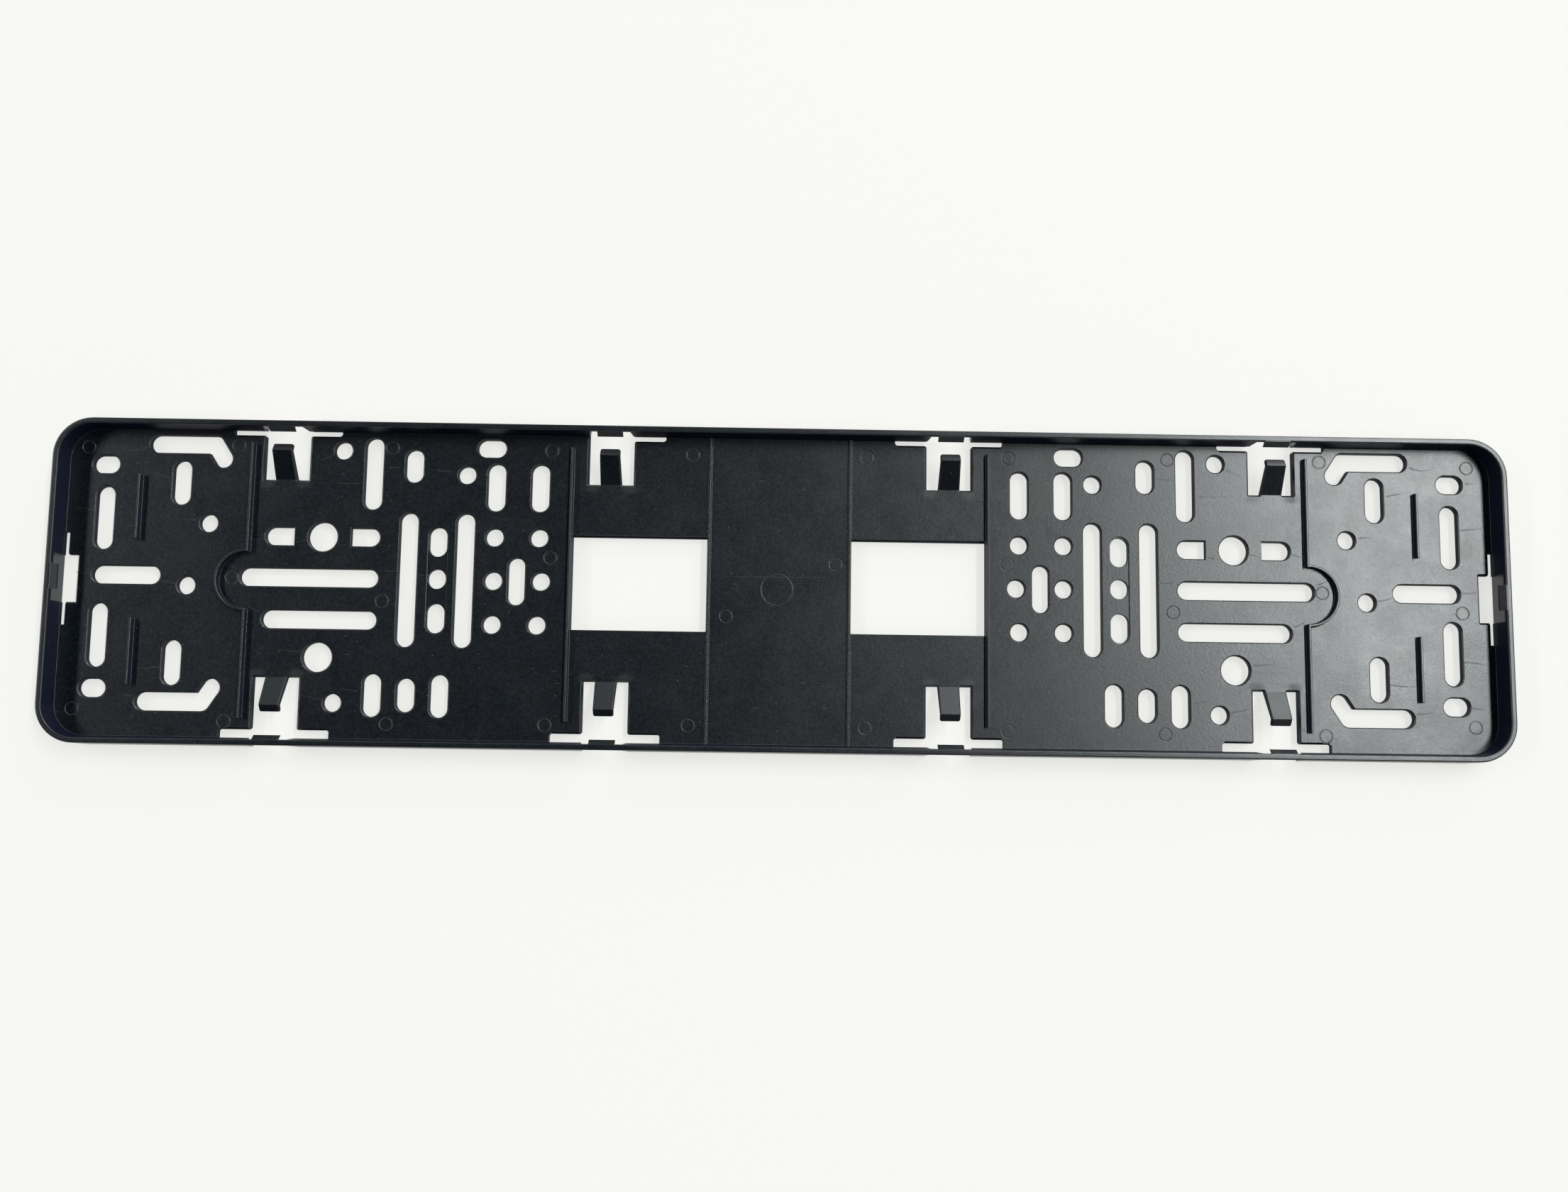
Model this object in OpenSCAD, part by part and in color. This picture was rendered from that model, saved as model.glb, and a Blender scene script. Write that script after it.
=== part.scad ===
// Number plate holder: one black moulded tray with a raised rim, spring tongues and
// rim hooks that hold the plate, low ribs, two windows and a mirrored pattern of
// fixing holes and slots.
// +X runs along the length, +Y to the upper edge and +Z out of the tray. The origin is
// at the middle of the tray, at the height of its foot.

/* [Tray] */
// Length over the top of the rim
tray_l = 530.7; // [522:0.1:545]
// Width over the top of the rim
tray_w = 118; // [116:1:126]
// Height from the foot to the top of the rim
tray_h = 12; // [11:0.5:18]
// Outer radius of the four corners
corner_r = 14; // [8:0.5:20]
// Thickness of the rim at its top
rim_t = 2.1; // [1.6:0.1:3]
// How much further in the rim's inner face lies at the floor
rim_draft_in = 0.6; // [0:0.1:1]
// How much further out the rim's outer face lies at the foot
rim_draft_out = 0.5; // [0:0.1:1]
// Radius of the rim's top edges
rim_round = 0.5; // [0.2:0.1:0.7]
// Height of the floor's upper side above the foot
floor_z = 4; // [3:0.1:6]
// Thickness of the floor
floor_t = 2.5; // [1.6:0.1:3]
// Thickness of the skirt below the floor
skirt_t = 1.4; // [1:0.1:2]

/* [Fixing pattern] */
// How far the middle of the pattern lies to the left of the middle of the tray
pattern_left = 0.9; // [0:0.1:2]
// How far the middle line of the pattern lies above the middle of the tray
pattern_y = 2; // [0:0.25:4]
// Width of the slots
slot_w = 6.6; // [5:0.1:7.2]
// Diameter of the small round holes
round_d = 6.5; // [5:0.1:7]
// Diameter of the large round holes
big_d = 10.75; // [8:0.25:12]
// Bevel round the top of each hole
hole_bevel = 0.4; // [0.2:0.1:0.6]
// Distance of the end slots from the end of the rim
end_slot_in = 17.3; // [16:0.1:20]
// Distance of the corner slots from the end of the rim
corner_slot_in = 16.7; // [16:0.1:20]
// Distance of the bent slots' outer ends from the end of the rim
bent_slot_in = 35.7; // [34:0.1:40]
// Length of the straight part of a bent slot, between the middles of its ends
bent_run = 20.5; // [14:0.5:24]
// Length of the sloping part of a bent slot, between the middles of its ends
bent_leg = 6.2; // [3:0.2:8]
// Slope of the sloping part
bent_angle = 57; // [40:1:75]
// Distance between the two tall slots
tall_slot_gap = 20.75; // [18:0.25:24]
// Length of the tall slots
tall_slot_l = 49.4; // [40:0.1:56]
// Distance of the recessed strip between them from the slot nearer the windows
strip_gap = 9.95; // [9:0.05:12]
// Width of the recessed strip
strip_w = 7.3; // [7.2:0.1:9]
// Length of the recessed strip
strip_l = 40; // [38:1:48]
// Depth of the recessed strip
strip_d = 0.5; // [0.3:0.1:1]

/* [Windows] */
// Length of a window
window_l = 49.6; // [40:0.2:56]
// Width of a window
window_w = 35.1; // [28:0.1:44]
// Radius of a window's corners
window_r = 0.4; // [0.2:0.1:3]
// How far the sill below the floor reaches into a window
sill_in = 0.5; // [0.2:0.1:1]

/* [Ribs] */
// Height of the ribs above the floor
rib_h = 2.25; // [1.5:0.25:5]
// Thickness of a rib at its top
rib_t = 0.9; // [0.8:0.1:1.4]
// How much thicker a rib is at its foot
rib_draft = 0.5; // [0:0.1:0.8]
// Bevel along both top edges of a rib
rib_bevel = 0.2; // [0.1:0.05:0.35]
// Radius of the bow in each long rib
bow_r = 11; // [8:0.5:14]
// Distance of the short ribs from the end of the rim
short_rib_in = 30; // [29:0.2:36]
// Height of the two low ribs beside the middle
low_rib_h = 1.2; // [0.6:0.1:2.5]

/* [Clips] */
// Width of the opening round a tongue
clip_gap_w = 16.5; // [14:0.5:17]
// Distance of a tongue's root from the pattern's middle line
tongue_root_y = 36.4; // [32:0.1:38]
// Width of a tongue
tongue_w = 7.9; // [6:0.1:9]
// How much narrower a tongue is at its tip
tongue_taper = 0.6; // [0:0.1:1]
// Length of a tongue's ramp
ramp_l = 10; // [8:0.5:11]
// Height of a tongue above the floor
tongue_h = 6; // [4:0.25:6.5]
// Length of a tongue's lip
lip_l = 2.5; // [1.5:0.25:3]
// Thickness of a tongue at the end of its lip
tip_t = 1.2; // [0.8:0.1:1.5]
// Bevel across the two corners of the lip
tip_corner = 0.5; // [0.2:0.1:1]
// Bevel along a tongue's edges
tongue_bevel = 0.4; // [0.2:0.1:0.6]
// Length of the slit along the rim at a clip
slit_l = 40; // [34:1:44]
// Width of the slit along the upper rim
slit_w_upper = 2; // [1.5:0.1:3]
// Width of the slit along the lower rim
slit_w_lower = 3.6; // [2:0.1:4]
// Radius of the slits' outer corners
slit_r = 0.8; // [0.3:0.1:0.9]
// Bevel round the clip openings
clip_bevel = 0.7; // [0.3:0.1:1]
// Bevel across the floor's corners where the slits start
corner_off = 0.6; // [0.2:0.1:1]
// Width of a rim hook
hook_w = 9.4; // [6:0.2:12]
// How far a hook reaches in from the rim
hook_in = 1.6; // [1:0.1:2.4]
// Drop of a hook's sloping top
hook_drop = 2.1; // [1:0.1:2.4]
// Thickness of the rim left above the notch behind a tongue
bridge_t = 1.3; // [1:0.1:2]
// How much the notch narrows towards its top, on each side
notch_taper = 1; // [0:0.1:2]
// Width of the opening at each end of the tray
end_gap_w = 17.4; // [14:0.2:20]
// Depth of the opening at each end of the tray
end_gap_in = 5; // [4:0.1:6]
// Length of the slit along each end
end_slit_l = 34; // [30:1:40]
// Width of the slit along each end
end_slit_w = 2.3; // [1.5:0.1:2.6]
// Width of the hook at each end
end_hook_w = 9.2; // [6:0.2:11]
// Thickness of the rim left outside the pocket behind an end hook
end_skin = 0.9; // [0.8:0.1:1.4]
// Distance of the pocket's roof below the top of the rim
pocket_top = 1.7; // [1.2:0.1:2.4]
// How far the end hooks lie above the middle of the tray
end_clip_y = 0.7; // [-2:0.1:3]

/* [Moulding marks] */
// Diameter of the ejector pin marks
pin_d = 5; // [3:0.5:7]
// Depth of the ring round each mark
pin_depth = 0.2; // [0.1:0.05:0.4]
// Width of that ring
pin_ring = 0.35; // [0.2:0.05:0.6]
// Diameter of the gate mark in the middle
gate_d = 12; // [8:0.5:16]

/* [Hidden] */
$fn = 48;
eps = 0.05;
plastic = "#26282b";

// Place or length along the tray, for one measured on the tray at its usual length
function along(x) = x * tray_l / 530.7;
// Place or length across the tray, for one measured on the tray at its usual width
function across(y) = y * tray_w / 118;

half_l = tray_l / 2;
half_w = tray_w / 2;
floor_under = floor_z - floor_t;
wall_low_in = rim_t + rim_draft_in;
seam = 1;
slot_r = slot_w / 2;
round_steps = 3;
rim_in_y = half_w - rim_t;
rim_in_x = half_l - rim_t;
slit_out_y = half_w - rim_t + 0.1;
tall_slot_x = along(115.5);
window_x = along(51.35);
long_rib_x = along(194.55);
clip_x_outer = along(182.2);
clip_x_inner = along(62.5);

// Section through the rim, with the outer top edge at distance u
function rim_section(u) = concat(
    [[u + rim_draft_out - skirt_t, 0], [u + rim_draft_out, 0]],
    [for (i = [0:round_steps]) [
        u - rim_round + rim_round * cos(90 * i / round_steps),
        tray_h - rim_round + rim_round * sin(90 * i / round_steps)]],
    [for (i = [0:round_steps]) [
        u - rim_t + rim_round - rim_round * sin(90 * i / round_steps),
        tray_h - rim_round + rim_round * cos(90 * i / round_steps)]],
    [[u - wall_low_in, floor_z], [u - wall_low_in - seam, floor_z]],
    [[u - wall_low_in - seam, floor_under], [u + rim_draft_out - skirt_t, floor_under]]
);

// Straight run of the rim along X, on the +Y side
module rim_run(run) {
    rotate([90, 0, 90])
        translate([0, 0, -run / 2])
            linear_extrude(height = run)
                polygon(rim_section(0));
}

// Quarter turn of the rim about its own centre
module rim_corner() {
    rotate_extrude(angle = 90, $fn = 96)
        polygon(rim_section(corner_r));
}

module rim() {
    for (s = [-1, 1]) {
        mirror([0, s < 0 ? 1 : 0, 0])
            translate([0, half_w, 0]) rim_run(tray_l - 2 * corner_r);
        mirror([s < 0 ? 1 : 0, 0, 0])
            translate([half_l, 0, 0]) rotate([0, 0, -90]) rim_run(tray_w - 2 * corner_r);
    }
    for (sx = [0, 1])
        for (sy = [0, 1])
            mirror([sx, 0, 0]) mirror([0, sy, 0])
                translate([half_l - corner_r, half_w - corner_r, 0]) rim_corner();
}

module floor_plate() {
    inset = wall_low_in + seam / 2;
    r = corner_r - inset;
    translate([0, 0, floor_under])
        linear_extrude(height = floor_t)
            union() {
                square([tray_l - 2 * corner_r, tray_w - 2 * inset], center = true);
                square([tray_l - 2 * inset, tray_w - 2 * corner_r], center = true);
                for (sx = [-1, 1])
                    for (sy = [-1, 1])
                        translate([sx * (half_l - corner_r), sy * (half_w - corner_r)])
                            circle(r = r, $fn = 96);
            }
}

// Round hole through the floor with a bevelled top edge
module round_hole(x, y, d) {
    translate([x, pattern_y + y, 0]) {
        translate([0, 0, floor_under - 1]) cylinder(h = floor_t + 2, d = d);
        translate([0, 0, floor_z - hole_bevel])
            cylinder(h = hole_bevel + eps, r1 = d / 2, r2 = d / 2 + hole_bevel + eps);
    }
}

// Section through a slot from above its middle, bevelled at the top
module slot_section(w) {
    polygon([
        [-w / 2, floor_under - 1], [w / 2, floor_under - 1],
        [w / 2, floor_z - hole_bevel], [w / 2 + hole_bevel + eps, floor_z + eps],
        [-w / 2 - hole_bevel - eps, floor_z + eps], [-w / 2, floor_z - hole_bevel]]);
}

// Round end of a slot
module slot_end(w) {
    translate([0, 0, floor_under - 1]) cylinder(h = floor_t + 2, d = w);
    translate([0, 0, floor_z - hole_bevel])
        cylinder(h = hole_bevel + eps, r1 = w / 2, r2 = w / 2 + hole_bevel + eps);
}

// Straight part of a slot, from the origin along +X
module slot_run(l, w) {
    rotate([90, 0, 90]) linear_extrude(height = l) slot_section(w);
}

// Round hole at a measured place
module hole_at(x, y, d) {
    round_hole(along(x), across(y), d);
}

// Slot of overall length l, turned by a
module slot(x, y, l, a, w = slot_w) {
    c = l - w;
    translate([x, pattern_y + y, 0]) rotate([0, 0, a]) {
        translate([-c / 2, 0, 0]) slot_run(c, w);
        translate([-c / 2, 0, 0]) slot_end(w);
        translate([c / 2, 0, 0]) slot_end(w);
    }
}

// Slot at a measured place, along the tray for a = 0 and across it for a = 90
module slot_at(x, y, l, a, w = slot_w) {
    slot(along(x), across(y), a == 0 ? along(l) : across(l), a, w);
}

// Slot with one round end, towards +X for s = 1 and towards -X for s = -1
module half_slot(x, y, length, s) {
    l = along(length);
    c = l - slot_r;
    translate([along(x), pattern_y + across(y), 0]) rotate([0, 0, s > 0 ? 0 : 180])
        translate([-l / 2, 0, 0]) {
            slot_run(c, slot_w);
            translate([c, 0, 0]) slot_end(slot_w);
        }
}

// Slot that runs inwards and then slopes towards the middle line. The sloping part is a
// hair narrower than its round ends, so that its sides cut them cleanly.
module bent_slot(y) {
    s = y > 0 ? -1 : 1;
    x = half_l - bent_slot_in;
    a = 180 - s * bent_angle;
    translate([x, pattern_y + y, 0]) {
        slot_end(slot_w);
        rotate([0, 0, 180]) slot_run(bent_run, slot_w);
        translate([-bent_run, 0, 0]) {
            slot_end(slot_w);
            rotate([0, 0, a]) slot_run(bent_leg, slot_w - 0.04);
            rotate([0, 0, a]) translate([bent_leg, 0, 0]) slot_end(slot_w);
        }
    }
}

// Holes of the end field, which keep their distance from the end of the rim
module end_holes() {
    x_end = half_l - end_slot_in;
    for (side = [-1, 1])
        slot(half_l - corner_slot_in, across(side * 41.2), along(9.7), 0);
    slot(x_end, across(21.35), across(23.3), 90);
    slot(x_end, across(-21.85), across(23.3), 90);
    slot_at(238.9, 0.3, 24.8, 0);
    slot_at(220.5, 34.8, 16.4, 90);
    slot_at(220.5, -31.6, 16.4, 90);
    hole_at(216.8, -3.3, round_d);
    hole_at(209.8, 19.8, round_d);
    bent_slot(across(49.15));
    bent_slot(across(-45.75));
}

// Holes between the long rib and the tall slots
module outer_holes() {
    slot_at(172.2, 0.2, 50.5, 0);
    slot_at(167.8, -15.2, 41.8, 0);
    half_slot(183.4, 15.4, 10.6, 1);
    half_slot(152.2, 15.4, 10.6, -1);
    hole_at(167.8, 15.4, big_d);
    hole_at(167.8, -28.9, big_d);
    hole_at(161.6, 47.7, round_d);
    hole_at(161.6, -45.4, round_d);
    slot_at(147.4, -42.5, 15.5, 90);
    slot_at(135.2, -42.3, 12.2, 90);
    slot_at(123, -42.5, 15.5, 90);
    slot_at(150.1, 39.2, 26.7, 90);
    slot_at(135.2, 42.3, 12.2, 90);
}

// Pair of tall slots with the recessed strip between them
module tall_slots() {
    mid = tall_slot_x + strip_gap;
    slot(tall_slot_x, 0, tall_slot_l, 90);
    slot(tall_slot_x + tall_slot_gap, 0, tall_slot_l, 90);
    slot(mid, across(14.1), across(10.8), 90);
    slot(mid, across(0.4), across(7.2), 90);
    slot(mid, across(-14.1), across(10.8), 90);
    c = strip_l - strip_w;
    translate([mid, pattern_y, floor_z - strip_d]) {
        translate([-strip_w / 2, -c / 2, 0]) cube([strip_w, c, strip_d + 1]);
        translate([0, c / 2, 0]) cylinder(h = strip_d + 1, d = strip_w);
        translate([0, -c / 2, 0]) cylinder(h = strip_d + 1, d = strip_w);
    }
}

// Holes between the tall slots and the window
module inner_holes() {
    hole_at(115.7, 39.2, round_d);
    slot_at(106.8, 49.3, 10.5, 0);
    for (y = [-16.1, 0, 16.1])
        hole_at(104.8, y, round_d);
    for (y = [-16.1, 16.1])
        hole_at(88.4, y, round_d);
    hole_at(87.3, 0, round_d);
    slot_at(104.7, 34.7, 17.6, 90);
    slot_at(88.5, 34.7, 17.6, 90);
    slot_at(96.3, -0.1, 17.3, 90, 6.1);
}

// Window with small rounded corners
module window_cut() {
    translate([window_x, pattern_y, floor_under]) {
        for (d = [[window_l, window_w - 2 * window_r], [window_l - 2 * window_r, window_w]])
            translate([-d[0] / 2, -d[1] / 2, 0]) cube([d[0], d[1], floor_t + 1]);
        for (sx = [-1, 1])
            for (sy = [-1, 1])
                translate([sx * (window_l / 2 - window_r), sy * (window_w / 2 - window_r), 0])
                    cylinder(h = floor_t + 1, r = window_r);
    }
}

// Bevel cut along a floor edge from the origin along +X, with the opening on its +Y side
module floor_bevel(l) {
    rotate([90, 0, 90])
        linear_extrude(height = l)
            polygon([
                [-clip_bevel - eps, floor_z + eps], [eps, floor_z - clip_bevel - eps],
                [slit_r, floor_z - clip_bevel - eps], [slit_r, floor_z + eps]]);
}

// Bevel in an inner corner of an opening
module corner_bevel() {
    translate([0, 0, floor_z - clip_bevel])
        cylinder(h = clip_bevel + eps, r1 = eps, r2 = clip_bevel + eps);
}

// Cut that takes the sharp corner off the floor where a slit arm meets the opening
module corner_cut() {
    translate([0, 0, floor_under - 1])
        linear_extrude(height = floor_t + 2)
            polygon([[-0.1, -corner_off], [0, -corner_off], [corner_off, 0],
                [corner_off, 0.1], [-0.1, 0.1]]);
}

// Slit arm of length l from the origin along +X, its outer end rounded on the floor side
module slit_arm(l, w) {
    h = floor_t + 2;
    translate([0, 0, floor_under - 1]) {
        translate([-slit_r, 0, 0]) cube([l, w, h]);
        translate([-slit_r, slit_r, 0]) cube([l + slit_r, w - slit_r, h]);
        translate([l - slit_r, slit_r, 0]) cylinder(h = h, r = slit_r);
    }
}

// Notch through the rim behind a tongue, narrower towards its top
module notch(w, depth) {
    top = tray_h - bridge_t;
    rotate([90, 0, 0])
        translate([0, 0, -depth])
            linear_extrude(height = depth)
                polygon([
                    [-w / 2, -1], [w / 2, -1], [w / 2, floor_z],
                    [w / 2 - notch_taper, top], [-w / 2 + notch_taper, top], [-w / 2, floor_z]]);
}

// Opening round one tongue and its slit along the rim, seen from the +Y side
module clip_cut(x, root, slit_w, arm_out) {
    slit_y = slit_out_y - slit_w;
    gap = clip_gap_w / 2;
    arm = slit_l / 2 - gap;
    translate([x, 0, 0]) {
        translate([-gap, root, floor_under - 1])
            cube([clip_gap_w, slit_out_y - root, floor_t + 2]);
        translate([-gap, slit_y, 0]) mirror([1, 0, 0]) {
            slit_arm(arm, slit_w);
            corner_cut();
        }
        translate([-gap - arm + slit_r, slit_y, 0]) floor_bevel(arm);
        if (arm_out) {
            translate([gap, slit_y, 0]) {
                slit_arm(arm, slit_w);
                corner_cut();
            }
            translate([gap - slit_r, slit_y, 0]) floor_bevel(arm);
        }
        translate([0, slit_y, 0]) notch(clip_gap_w, half_w + 2 - slit_y);
        translate([-gap, root, 0]) floor_bevel(clip_gap_w);
        translate([gap, root, 0]) rotate([0, 0, 90]) floor_bevel(slit_y - root + slit_r);
        translate([-gap, slit_y + slit_r, 0])
            rotate([0, 0, -90]) floor_bevel(slit_y - root + slit_r);
        for (s = [-1, 1])
            translate([s * gap, root, 0]) corner_bevel();
    }
}

// Side view of a tongue: it thins from the floor's own thickness to the end of its lip
module tongue_side() {
    tip_z = floor_z + tongue_h - 0.6 * lip_l;
    polygon([
        [-1.5, floor_under], [0, floor_under],
        [ramp_l, floor_z + tongue_h - tip_t - 0.4],
        [ramp_l + lip_l, tip_z - tip_t], [ramp_l + lip_l, tip_z],
        [ramp_l, floor_z + tongue_h], [0, floor_z], [-1.5, floor_z]]);
}

// Plan of a tongue, narrower towards its tip
module tongue_plan() {
    l = ramp_l + lip_l;
    tip = tongue_w / 2 - tongue_taper / 2;
    translate([0, 0, -1])
        linear_extrude(height = tray_h + 2)
            polygon([
                [-tongue_w / 2, -2], [tongue_w / 2, -2], [tongue_w / 2, 0],
                [tip, l - tip_corner], [tip - tip_corner - 0.2, l + 0.2],
                [-tip + tip_corner + 0.2, l + 0.2], [-tip, l - tip_corner], [-tongue_w / 2, 0]]);
}

// Bevel cut along one side edge, from the origin along +X, l long
module edge_cut(l) {
    rotate([90, 0, 90])
        translate([0, 0, -0.3])
            linear_extrude(height = l + 0.6)
                polygon([[-tongue_bevel, 0.2], [-tongue_bevel, 0], [0, -tongue_bevel],
                    [0.2, -tongue_bevel], [0.2, 0.2]]);
}

// Spring tongue that rises from its root towards the rim on the +Y side
module tongue(x, root) {
    turn = atan(tongue_taper / 2 / (ramp_l + lip_l + 1));
    ramp_a = atan(tongue_h / ramp_l);
    side_in = ramp_l * tan(turn);
    translate([x, root, 0])
        difference() {
            intersection() {
                rotate([90, 0, 90])
                    translate([0, 0, -tongue_w / 2])
                        linear_extrude(height = tongue_w) tongue_side();
                tongue_plan();
            }
            for (m = [0, 1])
                mirror([m, 0, 0]) translate([tongue_w / 2, 0, floor_z]) {
                    rotate([0, 0, 90 + turn]) rotate([0, -ramp_a, 0])
                        mirror([0, 1, 0]) edge_cut(ramp_l / cos(ramp_a));
                    translate([-side_in, ramp_l, tongue_h])
                        rotate([0, 0, 90 + turn]) rotate([0, atan(0.6), 0])
                            mirror([0, 1, 0]) edge_cut(lip_l / cos(atan(0.6)));
                }
        }
}

// Hook that reaches in from the rim on the +Y side
module hook(x, y_in, w, back) {
    under = tray_h - hook_drop - 0.8;
    translate([x - w / 2, y_in, 0])
        rotate([90, 0, 90])
            linear_extrude(height = w)
                polygon([
                    [-hook_in, tray_h - hook_drop], [-hook_in, under],
                    [-0.2, tray_h - bridge_t], [back, tray_h - bridge_t],
                    [back, tray_h - eps], [0, tray_h - eps]]);
}

// Clip opening, tongue and hook positions for one side of the rim
module clip_cuts(side, arms) {
    root = tongue_root_y + side * pattern_y;
    slit_w = side > 0 ? slit_w_upper : slit_w_lower;
    mirror([0, side > 0 ? 0 : 1, 0]) {
        clip_cut(clip_x_outer, root, slit_w, true);
        clip_cut(clip_x_inner, root, slit_w, arms);
    }
}

module clip_pieces(side) {
    root = tongue_root_y + side * pattern_y;
    mirror([0, side > 0 ? 0 : 1, 0])
        for (x = [clip_x_outer, clip_x_inner]) {
            tongue(x, root);
            hook(x, rim_in_y, hook_w, rim_t / 2);
        }
}

// Opening, slit and pocket behind the hook at the +X end
module end_clip_cut() {
    slit_x = rim_in_x + 0.1;
    gap_x = half_l - rim_t - rim_draft_in - end_gap_in;
    pocket_x = half_l - end_skin;
    translate([slit_x - end_slit_w, end_clip_y - end_slit_l / 2, floor_under - 1])
        cube([end_slit_w, end_slit_l, floor_t + 2]);
    translate([gap_x, end_clip_y - end_gap_w / 2, floor_under - 1])
        cube([pocket_x - gap_x, end_gap_w, tray_h - pocket_top - floor_under + 1]);
    translate([gap_x, end_clip_y + end_gap_w / 2, 0])
        rotate([0, 0, -90]) floor_bevel(end_gap_w);
    for (s = [-1, 1])
        translate([gap_x, end_clip_y + s * end_gap_w / 2, 0]) {
            mirror([0, s > 0 ? 1 : 0, 0]) floor_bevel(slit_x - end_slit_w - gap_x + eps);
            corner_bevel();
        }
}

module end_hook() {
    translate([rim_in_x, end_clip_y, 0])
        rotate([0, 0, -90])
            hook(0, 0, end_hook_w, rim_t - end_skin);
}

// Section through a rib of height h, standing in the floor
module rib_section(h) {
    polygon([
        [-(rib_t + rib_draft) / 2, floor_z - 1], [(rib_t + rib_draft) / 2, floor_z - 1],
        [(rib_t + rib_draft) / 2, floor_z], [rib_t / 2, floor_z + h - rib_bevel],
        [rib_t / 2 - rib_bevel, floor_z + h], [-rib_t / 2 + rib_bevel, floor_z + h],
        [-rib_t / 2, floor_z + h - rib_bevel], [-(rib_t + rib_draft) / 2, floor_z]]);
}

// Straight rib at distance x, from y0 to y1
module rib(x, y0, y1, h) {
    translate([x, y0, 0]) rotate([90, 0, 180])
        linear_extrude(height = y1 - y0) rib_section(h);
}

module long_rib() {
    bow_y = pattern_y - 1.1;
    rib(long_rib_x, bow_y + bow_r - rib_t / 2, half_w - 7.1, rib_h);
    rib(long_rib_x, -half_w + 9.7, bow_y - bow_r + rib_t / 2, rib_h);
    translate([long_rib_x, bow_y, 0])
        rotate([0, 0, -90])
            rotate_extrude(angle = 180, $fn = 96)
                translate([bow_r, 0]) rib_section(rib_h);
}

module ribs() {
    short_x = half_l - short_rib_in;
    rib_foot = (rib_t + rib_draft) / 2;
    window_rib_x = window_x + window_l / 2 + rib_foot;
    low_rib_x = window_x - window_l / 2 - rib_foot;
    long_rib();
    rib(short_x, pattern_y + across(13.6), pattern_y + across(37.5), rib_h);
    rib(short_x, pattern_y - across(39.7), pattern_y - across(15.6), rib_h);
    rib(window_rib_x, -half_w + 10.1, half_w - 7.2, rib_h);
    rib(low_rib_x, -half_w + rim_t, half_w - rim_t, low_rib_h);
}

// Wall below the floor along the outer side of a window, and the sill along its top
module window_skirt() {
    x = window_x + window_l / 2;
    y = pattern_y + window_w / 2;
    translate([x, pattern_y - window_w / 2, 0]) cube([skirt_t, window_w, floor_z - 1]);
    translate([window_x - window_l / 2 - skirt_t, y - sill_in, 0])
        cube([window_l + 2 * skirt_t, skirt_t, floor_under]);
    translate([window_x - window_l / 2 - skirt_t, y, 0])
        cube([window_l + 2 * skirt_t, skirt_t, floor_z - 1]);
}

// Shallow ring that a pin or a gate leaves round its end
module pin_mark(x, y, d) {
    translate([x, y, floor_z - pin_depth])
        difference() {
            cylinder(h = pin_depth + 1, d = d);
            translate([0, 0, -1]) cylinder(h = pin_depth + 3, d = d - 2 * pin_ring);
        }
}

// Ring mark at a measured place
module pin_at(x, y, d = pin_d) {
    pin_mark(along(x), across(y), d);
}

// Ejector pin marks on one half
module pin_marks() {
    for (p = [
            [255.2, 49.6], [255.2, -46.6], [200.2, 51], [200.2, -50.4], [200.2, 2],
            [143.5, 51], [145, -5.9], [141.6, -50.6], [84.5, 50.7], [84, 11],
            [84.2, -50.1], [32.3, 50.2], [32.2, -49.6]])
        pin_at(p[0], p[1]);
}

// Everything cut out of one half, with the inner upper clip's outer arm open or closed
module half_cuts(arms) {
    end_holes();
    outer_holes();
    tall_slots();
    inner_holes();
    window_cut();
    clip_cuts(1, arms);
    clip_cuts(-1, true);
    pin_marks();
}

module half_pieces() {
    clip_pieces(1);
    clip_pieces(-1);
}

// Puts the half pattern in its place at either end
module both_halves() {
    for (m = [0, 1])
        translate([-pattern_left, 0, 0]) mirror([m, 0, 0]) children();
}

module plate_holder() {
    color(plastic)
        union() {
            difference() {
                union() {
                    rim();
                    floor_plate();
                    both_halves() {
                        ribs();
                        window_skirt();
                    }
                }
                translate([-pattern_left, 0, 0]) {
                    half_cuts(true);
                    mirror([1, 0, 0]) half_cuts(false);
                }
                for (m = [0, 1])
                    mirror([m, 0, 0]) end_clip_cut();
                pin_at(-20, -9.6);
                pin_at(20, 10.2);
                pin_at(251, -4.7);
                pin_at(-1.4, 0.6, gate_d);
            }
            both_halves() half_pieces();
            for (m = [0, 1])
                mirror([m, 0, 0]) end_hook();
        }
}

plate_holder();
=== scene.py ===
"""Number plate holder: the moulded tray's black plastic, its knit lines, the studio stage
and the camera."""
import math

import bpy
from bpy.props import FloatProperty, FloatVectorProperty, PointerProperty
from mathutils import Matrix, Vector


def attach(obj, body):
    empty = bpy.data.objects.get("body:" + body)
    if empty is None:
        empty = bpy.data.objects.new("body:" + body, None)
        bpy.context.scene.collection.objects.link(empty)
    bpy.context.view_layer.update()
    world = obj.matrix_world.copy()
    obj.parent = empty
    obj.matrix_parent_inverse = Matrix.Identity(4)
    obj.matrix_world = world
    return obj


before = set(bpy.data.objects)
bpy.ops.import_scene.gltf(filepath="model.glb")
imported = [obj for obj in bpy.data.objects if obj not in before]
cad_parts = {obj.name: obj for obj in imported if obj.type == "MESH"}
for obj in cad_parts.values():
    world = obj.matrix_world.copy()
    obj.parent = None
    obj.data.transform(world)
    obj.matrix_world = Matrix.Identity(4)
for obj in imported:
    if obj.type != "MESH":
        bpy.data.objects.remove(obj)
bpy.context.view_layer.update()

bl_info = {
    "name": "Number Plate Holder",
    "version": (1, 0, 0),
    "blender": (4, 5, 0),
    "location": "3D View > Sidebar > Plate Holder",
    "description": "Finishes a moulded number plate holder and sets up its studio",
    "category": "Object",
}

MM = 0.001
TRAY_NODE = "plate_holder"

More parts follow.
